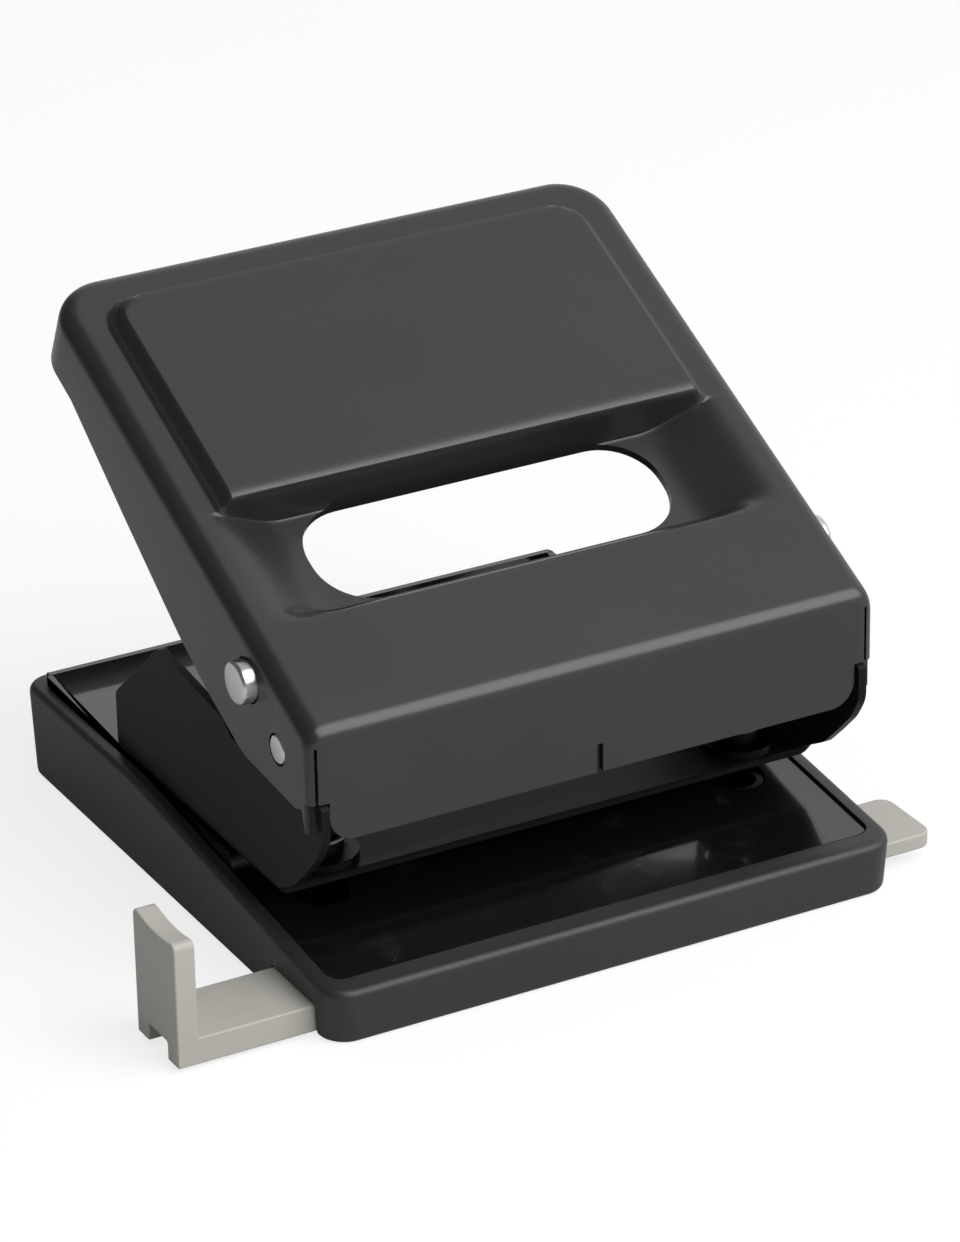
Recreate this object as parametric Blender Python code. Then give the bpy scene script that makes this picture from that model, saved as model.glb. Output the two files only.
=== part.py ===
# Desk punch for two holes: a plastic chip tray, a pressed steel plate with a
# folded punch frame on it, two sprung punches, a folded sheet lever and a
# sliding paper guide. X runs to the right, Y to the rear and Z up, with the
# origin at the centre of the tray's underside. All lengths are in metres.

import math

import bmesh
import bpy
from mathutils import Matrix, Vector

MM = 0.001

# Driving sizes of the whole punch
HOLE_SPACING = 80.0 * MM
HOLE_DIAMETER = 6.0 * MM
PAPER_MARGIN = 12.0 * MM
BASE_SIDE_MARGIN = 14.0 * MM
BASE_DEPTH = 118.0 * MM
RIM_REAR_HEIGHT = 17.3 * MM
RIM_FRONT_HEIGHT = 9.7 * MM
RIM_BEND_Y = 13.0 * MM
PUNCH_Y = -29.5 * MM
PIVOT_LEAD = 11.6 * MM
PIVOT_Z = 46.4 * MM
ROD_LEAD = 1.7 * MM
ROD_RISE = 8.2 * MM
LEVER_LENGTH = 104.2 * MM
LEVER_TILT = math.radians(25.2)

# Clearances that several pieces share
SEAT_GAP = 0.3 * MM
CHEEK_GAP = 0.4 * MM
OVERRUN = 4.0 * MM

ROUND_SIDES = 28
ARC_STEPS = 5
ROUND_MID_SHARE = 0.29
SMOOTH = math.radians(40)

STOP_Y = PUNCH_Y + PAPER_MARGIN
PIVOT_Y = PUNCH_Y - PIVOT_LEAD
ROD_Y = PUNCH_Y - ROD_LEAD
ROD_Z = PIVOT_Z + ROD_RISE
BASE_WIDTH = HOLE_SPACING + 2 * BASE_SIDE_MARGIN
BASE_FRONT_Y = -BASE_DEPTH / 2
BASE_REAR_Y = BASE_DEPTH / 2
RIM_FALL = (RIM_REAR_HEIGHT - RIM_FRONT_HEIGHT) / (RIM_BEND_Y - BASE_FRONT_Y)


def clear_scene():
    for item in list(bpy.data.objects):
        bpy.data.objects.remove(item, do_unlink=True)


def paint(name, colour, roughness, metallic):
    material = bpy.data.materials.new(name)
    material.use_nodes = True
    shader = material.node_tree.nodes["Principled BSDF"]
    shader.inputs["Base Color"].default_value = (*colour, 1.0)
    shader.inputs["Roughness"].default_value = roughness
    shader.inputs["Metallic"].default_value = metallic
    return material


def finish(name, bm, material, origin=(0, 0, 0), smooth=False):
    """Turns a bmesh in world coordinates into an object with its own origin"""
    origin = Vector(origin)
    bmesh.ops.recalc_face_normals(bm, faces=bm.faces)
    bmesh.ops.translate(bm, verts=bm.verts, vec=-origin)
    mesh = bpy.data.meshes.new(name)
    bm.to_mesh(mesh)
    bm.free()
    item = bpy.data.objects.new(name, mesh)
    item.location = origin
    bpy.context.collection.objects.link(item)
    mesh.materials.append(material)
    if smooth:
        mesh.shade_smooth()
        mesh.set_sharp_from_angle(angle=SMOOTH)
    return item


def shape_tool(name, bm):
    """Keeps a bmesh as a hidden wire object that other pieces are cut with"""
    item = finish(name, bm, TOOL_PAINT)
    item.hide_render = True
    item.display_type = "WIRE"
    return item


def combine(item, tool, operation):
    modifier = item.modifiers.new(tool.name, "BOOLEAN")
    modifier.operation = operation
    modifier.solver = "EXACT"
    modifier.object = tool


def box(bm, low, high):
    size = Vector(high) - Vector(low)
    middle = (Vector(high) + Vector(low)) / 2
    matrix = Matrix.Translation(middle) @ Matrix.Diagonal((*size, 1.0))
    bmesh.ops.create_cube(bm, size=1.0, matrix=matrix)


def box_tool(name, low, high):
    bm = bmesh.new()
    box(bm, low, high)
    return shape_tool(name, bm)


def prism(bm, outline, axis, start, end):
    """Extrudes an outline in (y, z), (x, z) or (x, y) along X, Y or Z"""
    place = {
        "X": lambda a, b, c: (c, a, b),
        "Y": lambda a, b, c: (a, c, b),
        "Z": lambda a, b, c: (a, b, c),
    }[axis]
    first = [bm.verts.new(place(a, b, start)) for a, b in outline]
    last = [bm.verts.new(place(a, b, end)) for a, b in outline]
    bridge(bm, first, last)
    bm.faces.new(first)
    bm.faces.new(last)


def turned(profile, centre, axis="Z"):
    """Spins a (radius, height) profile about a line through the centre"""
    bm = bmesh.new()
    points = [bm.verts.new((radius, 0, height)) for radius, height in profile]
    pairs = list(zip(points, points[1:]))
    if profile[0][0] > 0:
        pairs.append((points[-1], points[0]))
    edges = [bm.edges.new(pair) for pair in pairs]
    bmesh.ops.spin(
        bm, geom=points + edges, cent=(0, 0, 0), axis=(0, 0, 1),
        angle=math.tau, steps=ROUND_SIDES, use_merge=True, use_duplicate=False,
    )
    bmesh.ops.remove_doubles(bm, verts=bm.verts, dist=0.001 * MM)
    turn = Matrix.Rotation(math.pi / 2, 4, "Y") if axis == "X" else Matrix()
    bmesh.ops.transform(bm, verts=bm.verts, matrix=Matrix.Translation(centre) @ turn)
    return bm


def rod_tool(name, radius, low, high, centre, axis):
    profile = [(0, low), (radius, low), (radius, high), (0, high)]
    return shape_tool(name, turned(profile, centre, axis))


def arc(centre, radius, start, end, steps=ARC_STEPS):
    """Points on an arc, angles in degrees from the first axis"""
    points = []
    for i in range(steps + 1):
        angle = math.radians(start + (end - start) * i / steps)
        points.append((centre[0] + radius * math.cos(angle), centre[1] + radius * math.sin(angle)))
    return points


def mirrored(half):
    return half + [(-x, y) for x, y in reversed(half)]


def plan(half_width, front, rear, corner_front, corner_rear, stations=()):
    """Rounded plan outline: the right half from the rear, then its mirror"""
    rear_centre = (half_width - corner_rear, rear - corner_rear)
    front_centre = (half_width - corner_front, front + corner_front)
    half = arc(rear_centre, corner_rear, 90, 0)
    half += [(half_width, y) for y in stations]
    half += arc(front_centre, corner_front, 0, -90)
    return mirrored(half)


def bridge(bm, lower, upper):
    count = len(lower)
    for i in range(count):
        j = (i + 1) % count
        bm.faces.new((lower[i], lower[j], upper[j], upper[i]))


def cap_strips(bm, ring):
    """Closes a mirrored ring with strips that run straight from side to side"""
    half = len(ring) // 2
    for i in range(half - 1):
        bm.faces.new((ring[i], ring[i + 1], ring[-2 - i], ring[-1 - i]))


def loft(bm, rings):
    for lower, upper in zip(rings, rings[1:]):
        bridge(bm, lower, upper)
    cap_strips(bm, rings[0])
    cap_strips(bm, rings[-1])


def rim_height(y):
    return RIM_REAR_HEIGHT - RIM_FALL * max(0.0, RIM_BEND_Y - y)


# Plate of pressed steel inside the tray's rim: a level platform under the
# punch frame, a step that stops the paper and a table that slopes to the front
PLATE_SHEET = 1.2 * MM
RIM_SIDE = 3.0 * MM
RIM_END = 5.0 * MM
PLATE_CORNER = 2.4 * MM
PLATE_FLANGE = 2.0 * MM
PLATE_SWING_GAP = 0.9 * MM
PLATE_ROUND = 0.8 * MM
TABLE_SINK = 0.6 * MM
PLATFORM_SINK = 0.8 * MM
STOP_LEAN = 0.8 * MM

PLATE_HALF_WIDTH = BASE_WIDTH / 2 - RIM_SIDE
PLATE_FRONT_Y = BASE_FRONT_Y + RIM_END
PLATE_REAR_Y = BASE_REAR_Y - RIM_END
PLATFORM_TOP = RIM_REAR_HEIGHT - PLATFORM_SINK


def table_height(y):
    return rim_height(y) - TABLE_SINK


def plate_ring(bm, inset, drop, stop, flange=False):
    """One outline of the plate, on its top or along its flange's lower edge"""
    def height(y):
        if flange:
            return table_height(y) - PLATE_FLANGE
        return (PLATFORM_TOP if y >= stop else table_height(y)) - drop
    corner = max(PLATE_CORNER - inset, PLATE_CORNER * ROUND_MID_SHARE)
    outline = plan(
        PLATE_HALF_WIDTH - inset, PLATE_FRONT_Y + inset, PLATE_REAR_Y - inset,
        corner, corner, [RIM_BEND_Y, stop, stop - STOP_LEAN],
    )
    return [bm.verts.new((x, y, height(y))) for x, y in outline]


def build_base_plate(material):
    bm = bmesh.new()
    inner_stop = STOP_Y + PLATE_SHEET
    loft(bm, [
        plate_ring(bm, PLATE_SHEET, PLATE_SHEET, inner_stop),
        plate_ring(bm, PLATE_SHEET, 0, inner_stop, flange=True),
        plate_ring(bm, 0, 0, STOP_Y, flange=True),
        plate_ring(bm, 0, PLATE_ROUND, STOP_Y),
        plate_ring(bm, PLATE_ROUND * ROUND_MID_SHARE, PLATE_ROUND * ROUND_MID_SHARE, STOP_Y),
        plate_ring(bm, PLATE_ROUND, 0, STOP_Y),
    ])
    plate = finish("base_plate", bm, material, origin=(0, PLATE_REAR_Y, PLATFORM_TOP))
    for side in (-1, 1):
        combine(plate, seat_tool("die_seat", DIE_RADIUS, side), "DIFFERENCE")
    for number, place in enumerate(rivet_places(), start=1):
        combine(plate, rivet_tool("plate_rivet_hole", number, place), "DIFFERENCE")
    return plate


def seat_tool(name, radius, side):
    centre = (side * HOLE_SPACING / 2, PUNCH_Y, 0)
    return rod_tool(f"{name}_{side}", radius + SEAT_GAP, 0, FRAME_WEB_TOP + OVERRUN, centre, "Z")


# Chip tray of dark moulded plastic, whose rim frames the plate and whose low
# front part carries the paper guide in a channel across it
TRAY_CORNER = 5.0 * MM
TRAY_DRAFT = 0.5 * MM
TRAY_FLOOR = 1.6 * MM
TRAY_FOOT_ROUND = 1.0 * MM
TRAY_RIM_ROUND = 1.0 * MM
TRAY_LEDGE = 1.2 * MM
POCKET_CORNER = 2.7 * MM

POCKET_HALF_WIDTH = PLATE_HALF_WIDTH + SEAT_GAP
POCKET_FRONT_Y = PLATE_FRONT_Y - PLATE_SWING_GAP
POCKET_REAR_Y = PLATE_REAR_Y + SEAT_GAP


def ledge_height(y):
    return table_height(y) - PLATE_FLANGE - SEAT_GAP


def tray_outer_ring(bm, inset, height):
    corner = TRAY_CORNER - inset
    outline = plan(
        BASE_WIDTH / 2 - inset, BASE_FRONT_Y + inset, BASE_REAR_Y - inset, corner, corner, [RIM_BEND_Y],
    )
    return [bm.verts.new((x, y, height(y))) for x, y in outline]


def tray_pocket_ring(bm, inset, height):
    outline = plan(
        POCKET_HALF_WIDTH - inset, POCKET_FRONT_Y + inset, POCKET_REAR_Y - inset,
        POCKET_CORNER, POCKET_CORNER, [RIM_BEND_Y],
    )
    return [bm.verts.new((x, y, height(y))) for x, y in outline]


def build_base_cover(material):
    bm = bmesh.new()
    foot = TRAY_FOOT_ROUND
    rim = TRAY_RIM_ROUND
    mid = ROUND_MID_SHARE
    loft(bm, [
        tray_outer_ring(bm, TRAY_DRAFT + foot, lambda y: 0),
        tray_outer_ring(bm, TRAY_DRAFT + foot * mid, lambda y: foot * mid),
        tray_outer_ring(bm, TRAY_DRAFT, lambda y: foot),
        tray_outer_ring(bm, 0, lambda y: rim_height(y) - rim),
        tray_outer_ring(bm, rim * mid, lambda y: rim_height(y) - rim * mid),
        tray_outer_ring(bm, rim, rim_height),
        tray_pocket_ring(bm, 0, rim_height),
        tray_pocket_ring(bm, 0, ledge_height),
        tray_pocket_ring(bm, TRAY_LEDGE, ledge_height),
        tray_pocket_ring(bm, TRAY_LEDGE, lambda y: TRAY_FLOOR),
    ])
    cover = finish("base_cover", bm, material)
    combine(cover, guide_rail_tool(), "UNION")
    for side in (-1, 1):
        combine(cover, guide_bridge_tool(side), "UNION")
    combine(cover, guide_channel_tool(), "DIFFERENCE")
    for number, front in enumerate(lip_fronts(), start=1):
        combine(cover, lip_channel_tool(number, front), "DIFFERENCE")
    return cover


# Paper guide of pale plastic: a strip with two lips under it and an upright
# end that the sheets are laid against
GUIDE_SETBACK = 1.0 * MM
GUIDE_DEPTH = 15.0 * MM
GUIDE_REACH = 24.2 * MM
GUIDE_TAIL = 10.8 * MM
GUIDE_UNDERSIDE = 2.8 * MM
GUIDE_TOP = 5.6 * MM
GUIDE_LIP_WIDTH = 4.0 * MM
GUIDE_LIP_DROP = 2.0 * MM
GUIDE_LIP_LENGTH = 45.2 * MM
GUIDE_FENCE = 3.8 * MM
GUIDE_FENCE_FRONT_TOP = 23.4 * MM
GUIDE_FENCE_REAR_TOP = 23.8 * MM
GUIDE_FENCE_DIP = 0.9 * MM
GUIDE_FENCE_CORNER = 1.5 * MM
GUIDE_NOTCH_RISE = 1.2 * MM
GUIDE_CORNER = 2.5 * MM
GUIDE_PUSH = 20.0 * MM
BRIDGE_X = 25.0 * MM
BRIDGE_WIDTH = 6.0 * MM
BRIDGE_THICKNESS = 1.3 * MM
BRIDGE_POST = 2.0 * MM

GUIDE_FRONT_Y = PLATE_FRONT_Y + GUIDE_SETBACK
GUIDE_REAR_Y = GUIDE_FRONT_Y + GUIDE_DEPTH
GUIDE_LEFT_X = -BASE_WIDTH / 2 - GUIDE_REACH
GUIDE_RIGHT_X = BASE_WIDTH / 2 + GUIDE_TAIL
LIP_END_X = GUIDE_LEFT_X + GUIDE_LIP_LENGTH
LIP_FOOT = GUIDE_UNDERSIDE - GUIDE_LIP_DROP


def lip_fronts():
    return (GUIDE_FRONT_Y, GUIDE_REAR_Y - GUIDE_LIP_WIDTH)


def guide_rail_tool():
    """Pad on the tray's floor that the strip slides on"""
    reach = POCKET_HALF_WIDTH
    rear = GUIDE_REAR_Y + SEAT_GAP + BRIDGE_POST
    low = (-reach, POCKET_FRONT_Y, TRAY_FLOOR / 2)
    return box_tool("guide_rail", low, (reach, rear, GUIDE_UNDERSIDE - SEAT_GAP))


def guide_bridge_tool(side):
    """Bridge over the strip, solid until the channel is cut through it"""
    rear = GUIDE_REAR_Y + SEAT_GAP + BRIDGE_POST
    middle = side * BRIDGE_X
    low = (middle - BRIDGE_WIDTH / 2, POCKET_FRONT_Y, TRAY_FLOOR / 2)
    high = (middle + BRIDGE_WIDTH / 2, rear, GUIDE_TOP + SEAT_GAP + BRIDGE_THICKNESS)
    return box_tool(f"guide_bridge_{side}", low, high)


def guide_channel_tool():
    reach = BASE_WIDTH / 2 + OVERRUN
    low = (-reach, GUIDE_FRONT_Y - SEAT_GAP, GUIDE_UNDERSIDE - SEAT_GAP)
    return box_tool("guide_channel", low, (reach, GUIDE_REAR_Y + SEAT_GAP, GUIDE_TOP + SEAT_GAP))


def lip_channel_tool(number, front):
    """Slot through the floor and the left wall for one of the strip's lips"""
    low = (-BASE_WIDTH / 2 - OVERRUN, front - SEAT_GAP, -OVERRUN)
    high = (LIP_END_X + GUIDE_PUSH + SEAT_GAP, front + GUIDE_LIP_WIDTH + SEAT_GAP, GUIDE_UNDERSIDE)
    return box_tool(f"lip_channel_{number}", low, high)


def fence_outline():
    """Side view of the upright end, dipped along its top and notched below"""
    front = GUIDE_FRONT_Y
    rear = GUIDE_REAR_Y
    corner = GUIDE_FENCE_CORNER
    depth = rear - front
    notch = GUIDE_UNDERSIDE + GUIDE_NOTCH_RISE
    dip = []
    for i in range(1, 6):
        share = i / 6
        rise = GUIDE_FENCE_FRONT_TOP + (GUIDE_FENCE_REAR_TOP - GUIDE_FENCE_FRONT_TOP) * share
        dip.append((front + depth * share, rise - GUIDE_FENCE_DIP * math.sin(math.pi * share)))
    return [
        (front, LIP_FOOT),
        *arc((front + corner, GUIDE_FENCE_FRONT_TOP - corner), corner, 180, 90, 3),
        *dip,
        *arc((rear - corner, GUIDE_FENCE_REAR_TOP - corner), corner, 90, 0, 3),
        (rear, LIP_FOOT), (rear - GUIDE_LIP_WIDTH, LIP_FOOT), (rear - GUIDE_LIP_WIDTH, notch),
        (front + GUIDE_LIP_WIDTH, notch), (front + GUIDE_LIP_WIDTH, LIP_FOOT),
    ]


def build_paper_guide(material):
    bm = bmesh.new()
    right = GUIDE_RIGHT_X - GUIDE_CORNER
    start = GUIDE_LEFT_X + GUIDE_FENCE / 2
    strip = [(start, GUIDE_FRONT_Y)]
    strip += arc((right, GUIDE_FRONT_Y + GUIDE_CORNER), GUIDE_CORNER, -90, 0)
    strip += arc((right, GUIDE_REAR_Y - GUIDE_CORNER), GUIDE_CORNER, 0, 90)
    strip.append((start, GUIDE_REAR_Y))
    prism(bm, strip, "Z", GUIDE_UNDERSIDE, GUIDE_TOP)
    guide = finish("paper_guide", bm, material)
    bm = bmesh.new()
    prism(bm, fence_outline(), "X", GUIDE_LEFT_X, GUIDE_LEFT_X + GUIDE_FENCE)
    combine(guide, shape_tool("guide_fence", bm), "UNION")
    middle = (GUIDE_UNDERSIDE + GUIDE_TOP) / 2
    for number, front in enumerate(lip_fronts(), start=1):
        low = (start, front, LIP_FOOT)
        tool = box_tool(f"guide_lip_{number}", low, (LIP_END_X, front + GUIDE_LIP_WIDTH, middle))
        combine(guide, tool, "UNION")
    return guide


# Punch frame folded from one sheet: a web on the platform that reaches over
# the paper as the upper jaw, and two cheeks that carry the lever's shaft
FRAME_SHEET = 1.5 * MM
FRAME_PROUD = 0.1 * MM
FRAME_BEND = 2.4 * MM
FRAME_REAR_Y = 24.7 * MM
JAW_REACH = 6.1 * MM
CHEEK_EAR = 5.0 * MM
CHEEK_NOSE = 11.6 * MM
EAR_START_ANGLE = -40
EAR_END_ANGLE = 205
EAR_STEPS = 14

FRAME_WEB_LOW = PLATFORM_TOP + SEAT_GAP
FRAME_WEB_TOP = FRAME_WEB_LOW + FRAME_SHEET
FRAME_HALF_WIDTH = PLATE_HALF_WIDTH + FRAME_PROUD
CHEEK_INNER_X = FRAME_HALF_WIDTH - FRAME_SHEET
JAW_FRONT_Y = PUNCH_Y - JAW_REACH
LEVER_SHEET = 1.4 * MM
LEVER_WIDTH = 2 * (FRAME_HALF_WIDTH + CHEEK_GAP + LEVER_SHEET)

# Corners of a cheek seen from the side. The first share runs from the shaft to
# the frame's rear, or to the nose's tip, and the second from the web to the shaft.
CHEEK_BACK_SHARES = ((1.0, 0.363), (0.728, 0.918), (0.365, 0.826), (0.3085, 0.7367), (0.108, 0.7367))
CHEEK_NOSE_SHARES = (
    (0.474, 0.783), (1.0, 0.783), (1.0, 0.5765), (0.94, 0.516),
    (0.767, 0.4057), (0.422, 0.26), (0.06, 0.1174), (-0.267, 0.0427),
)


def cheek_corners(shares, reach):
    rise = PIVOT_Z - FRAME_WEB_TOP
    return [(PIVOT_Y + reach * along, FRAME_WEB_TOP + rise * up) for along, up in shares]


def frame_side_outline():
    return [
        (FRAME_REAR_Y, FRAME_WEB_LOW - OVERRUN),
        *cheek_corners(CHEEK_BACK_SHARES, FRAME_REAR_Y - PIVOT_Y),
        *arc((PIVOT_Y, PIVOT_Z), CHEEK_EAR, EAR_START_ANGLE, EAR_END_ANGLE, EAR_STEPS),
        *cheek_corners(CHEEK_NOSE_SHARES, -CHEEK_NOSE),
        (JAW_FRONT_Y, FRAME_WEB_TOP), (JAW_FRONT_Y, FRAME_WEB_LOW - OVERRUN),
    ]


def build_punch_frame(material):
    bm = bmesh.new()
    top = PIVOT_Z + CHEEK_EAR + OVERRUN
    bend_x = FRAME_HALF_WIDTH - FRAME_BEND
    bend_z = FRAME_WEB_LOW + FRAME_BEND
    outer = [(FRAME_HALF_WIDTH, top)] + arc((bend_x, bend_z), FRAME_BEND, 0, -90)
    inner = arc((bend_x, bend_z), FRAME_BEND - FRAME_SHEET, -90, 0) + [(CHEEK_INNER_X, top)]
    section = outer + [(-x, z) for x, z in reversed(outer)]
    section += [(-x, z) for x, z in reversed(inner)] + inner
    prism(bm, section, "Y", PIVOT_Y - CHEEK_NOSE - OVERRUN, FRAME_REAR_Y + OVERRUN)
    frame = finish("punch_frame", bm, material, origin=(0, PIVOT_Y, PIVOT_Z))
    bm = bmesh.new()
    reach = LEVER_WIDTH / 2 + OVERRUN
    prism(bm, frame_side_outline(), "X", -reach, reach)
    combine(frame, shape_tool("frame_side_view", bm), "INTERSECT")
    for side in (-1, 1):
        combine(frame, seat_tool("bush_seat", BUSH_RADIUS, side), "DIFFERENCE")
    for number, place in enumerate(rivet_places(), start=1):
        combine(frame, rivet_tool("frame_rivet_hole", number, place), "DIFFERENCE")
    shaft = rod_tool("frame_shaft_hole", SHAFT_RADIUS + SHAFT_FIT, -reach, reach, (0, PIVOT_Y, PIVOT_Z), "X")
    combine(frame, shaft, "DIFFERENCE")
    return frame


# Rivets that hold the punch frame to the plate
RIVET_RADIUS = 2.0 * MM
RIVET_HEAD_RADIUS = 3.6 * MM
RIVET_HEAD = 1.4 * MM
RIVET_TAIL = 0.9 * MM
RIVET_FIT = 0.3 * MM
RIVET_INSET = 8.0 * MM
RIVET_FRONT_SETBACK = 10.5 * MM
RIVET_REAR_SETBACK = 9.7 * MM
RIVET_DOME_ANGLE = 72


def rivet_places():
    rows = (STOP_Y + RIVET_FRONT_SETBACK, FRAME_REAR_Y - RIVET_REAR_SETBACK)
    return [(side * (HOLE_SPACING / 2 - RIVET_INSET), y) for y in rows for side in (-1, 1)]


def rivet_tool(name, number, place):
    top = FRAME_WEB_TOP + OVERRUN
    return rod_tool(f"{name}_{number}", RIVET_RADIUS + RIVET_FIT, TRAY_FLOOR, top, (*place, 0), "Z")


def build_rivet(number, place, material):
    seat = FRAME_WEB_TOP + RIVET_FIT
    under = PLATFORM_TOP - PLATE_SHEET - RIVET_FIT
    dome = arc((0, 0), 1, 0, RIVET_DOME_ANGLE, 3)
    profile = [
        (0, under - RIVET_TAIL), (RIVET_HEAD_RADIUS, under - RIVET_TAIL), (RIVET_HEAD_RADIUS, under),
        (RIVET_RADIUS, under), (RIVET_RADIUS, seat),
        *[(RIVET_HEAD_RADIUS * a, seat + RIVET_HEAD * b) for a, b in dome],
        (0, seat + RIVET_HEAD),
    ]
    return finish(f"frame_rivet_{number}", turned(profile, (*place, 0)), material, smooth=True)


# Hardened die rings in the table, under the two punches
DIE_RADIUS = 4.5 * MM
DIE_FLANGE_RADIUS = 6.0 * MM
DIE_FLANGE = 1.0 * MM
DIE_CUT_GAP = 0.3 * MM

DIE_TOP = table_height(PUNCH_Y - DIE_RADIUS)
DIE_SHOULDER = table_height(PUNCH_Y - DIE_FLANGE_RADIUS) - PLATE_SHEET - SEAT_GAP


def build_die(word, side, material):
    bore = HOLE_DIAMETER / 2 + DIE_CUT_GAP
    bottom = DIE_SHOULDER - DIE_FLANGE
    profile = [
        (bore, bottom), (DIE_FLANGE_RADIUS, bottom), (DIE_FLANGE_RADIUS, DIE_SHOULDER),
        (DIE_RADIUS, DIE_SHOULDER), (DIE_RADIUS, DIE_TOP), (bore, DIE_TOP),
    ]
    bm = turned(profile, (side * HOLE_SPACING / 2, PUNCH_Y, 0))
    return finish(f"die_{word}", bm, material, smooth=True)


# Punches with their guide bushes, caps and return springs
BUSH_RADIUS = 4.5 * MM
BUSH_FLANGE_RADIUS = 6.5 * MM
BUSH_FLANGE = 1.4 * MM
BUSH_SLEEVE_RADIUS = 3.95 * MM
BUSH_TOP = 26.0 * MM
PUNCH_TIP_LIFT = 0.5 * MM
PUNCH_TIP_HOLLOW = 1.3 * MM
CAP_RADIUS = 5.5 * MM
CAP_HEIGHT = 3.4 * MM
CAP_ROUND = 0.9 * MM
CAP_ROOF = 1.2 * MM
ROD_RADIUS = 3.7 * MM
SPRING_RADIUS = 4.8 * MM
SPRING_WIRE_RADIUS = 0.5 * MM
SPRING_CURLS = 8
SPRING_CURL_POINTS = 10

PUNCH_RADIUS = HOLE_DIAMETER / 2
CAP_TOP = ROD_Z - ROD_RADIUS - SEAT_GAP
CAP_LOW = CAP_TOP - CAP_HEIGHT
BUSH_SHOULDER = FRAME_WEB_TOP + SEAT_GAP


def punch_centre(side):
    return (side * HOLE_SPACING / 2, PUNCH_Y, 0)


def build_bush(word, side, material):
    bore = PUNCH_RADIUS + SEAT_GAP
    seat_top = BUSH_SHOULDER + BUSH_FLANGE
    profile = [
        (bore, FRAME_WEB_LOW), (BUSH_RADIUS, FRAME_WEB_LOW), (BUSH_RADIUS, BUSH_SHOULDER),
        (BUSH_FLANGE_RADIUS, BUSH_SHOULDER), (BUSH_FLANGE_RADIUS, seat_top),
        (BUSH_SLEEVE_RADIUS, seat_top), (BUSH_SLEEVE_RADIUS, BUSH_TOP), (bore, BUSH_TOP),
    ]
    return finish(f"guide_bush_{word}", turned(profile, punch_centre(side)), material, smooth=True)


def build_punch(word, side, material):
    tip = FRAME_WEB_LOW + PUNCH_TIP_LIFT
    top = CAP_TOP - CAP_ROOF - SEAT_GAP
    profile = [(0, tip + PUNCH_TIP_HOLLOW), (PUNCH_RADIUS, tip), (PUNCH_RADIUS, top), (0, top)]
    centre = punch_centre(side)
    return finish(f"punch_{word}", turned(profile, centre), material, origin=centre, smooth=True)


def build_cap(word, side, material):
    bore = PUNCH_RADIUS + SEAT_GAP
    mid = CAP_ROUND * ROUND_MID_SHARE
    profile = [
        (0, CAP_TOP - CAP_ROOF), (bore, CAP_TOP - CAP_ROOF), (bore, CAP_LOW),
        (CAP_RADIUS, CAP_LOW), (CAP_RADIUS, CAP_TOP - CAP_ROUND),
        (CAP_RADIUS - mid, CAP_TOP - mid), (CAP_RADIUS - CAP_ROUND, CAP_TOP), (0, CAP_TOP),
    ]
    centre = punch_centre(side)
    return finish(f"punch_cap_{word}", turned(profile, centre), material, origin=centre, smooth=True)


def spring_points(side):
    low = BUSH_SHOULDER + BUSH_FLANGE + SEAT_GAP + SPRING_WIRE_RADIUS
    high = CAP_LOW - SEAT_GAP - SPRING_WIRE_RADIUS
    count = SPRING_CURLS * SPRING_CURL_POINTS
    points = []
    for i in range(count + 1):
        angle = math.tau * i / SPRING_CURL_POINTS
        x = side * (HOLE_SPACING / 2 + SPRING_RADIUS * math.cos(angle))
        y = PUNCH_Y + SPRING_RADIUS * math.sin(angle)
        points.append(Vector((x, y, low + (high - low) * i / count)))
    return points


def least_self_gap(points, wire_radius, curl_points):
    gap = math.inf
    for i, first in enumerate(points):
        for second in points[i + curl_points // 2:]:
            gap = min(gap, (first - second).length - 2 * wire_radius)
    return gap


def build_spring(word, side, material):
    name = f"return_spring_{word}"
    points = spring_points(side)
    gap = least_self_gap(points, SPRING_WIRE_RADIUS, SPRING_CURL_POINTS)
    print(f"{name} least gap to itself {gap / MM:.2f} mm")
    curve = bpy.data.curves.new(name, "CURVE")
    curve.dimensions = "3D"
    curve.bevel_depth = SPRING_WIRE_RADIUS
    curve.bevel_resolution = 1
    curve.use_fill_caps = True
    spline = curve.splines.new("POLY")
    spline.points.add(len(points) - 1)
    for knot, place in zip(spline.points, points):
        knot.co = (*place, 1.0)
    item = bpy.data.objects.new(name, curve)
    bpy.context.collection.objects.link(item)
    curve.materials.append(material)
    return item


# Shaft that the lever turns on, with a clip inside each cheek
SHAFT_RADIUS = 2.5 * MM
SHAFT_FIT = 0.3 * MM
SHAFT_PROUD = 0.1 * MM
SHAFT_CHAMFER = 0.4 * MM
SHAFT_CLIP_RADIUS = 4.5 * MM
CLIP_THICKNESS = 0.8 * MM
ROD_CLIP_RADIUS = 5.4 * MM
ROD_PROUD = 2.5 * MM
ROD_CHAMFER = 0.5 * MM
ROD_FIT = 0.3 * MM


def pin_bm(radius, reach, chamfer, centre):
    profile = [
        (0, -reach), (radius - chamfer, -reach), (radius, -reach + chamfer),
        (radius, reach - chamfer), (radius - chamfer, reach), (0, reach),
    ]
    return turned(profile, centre, "X")


def build_pivot_shaft(material):
    centre = (0, PIVOT_Y, PIVOT_Z)
    bm = pin_bm(SHAFT_RADIUS, LEVER_WIDTH / 2 + SHAFT_PROUD, SHAFT_CHAMFER, centre)
    return finish("pivot_shaft", bm, material, origin=centre, smooth=True)


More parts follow.
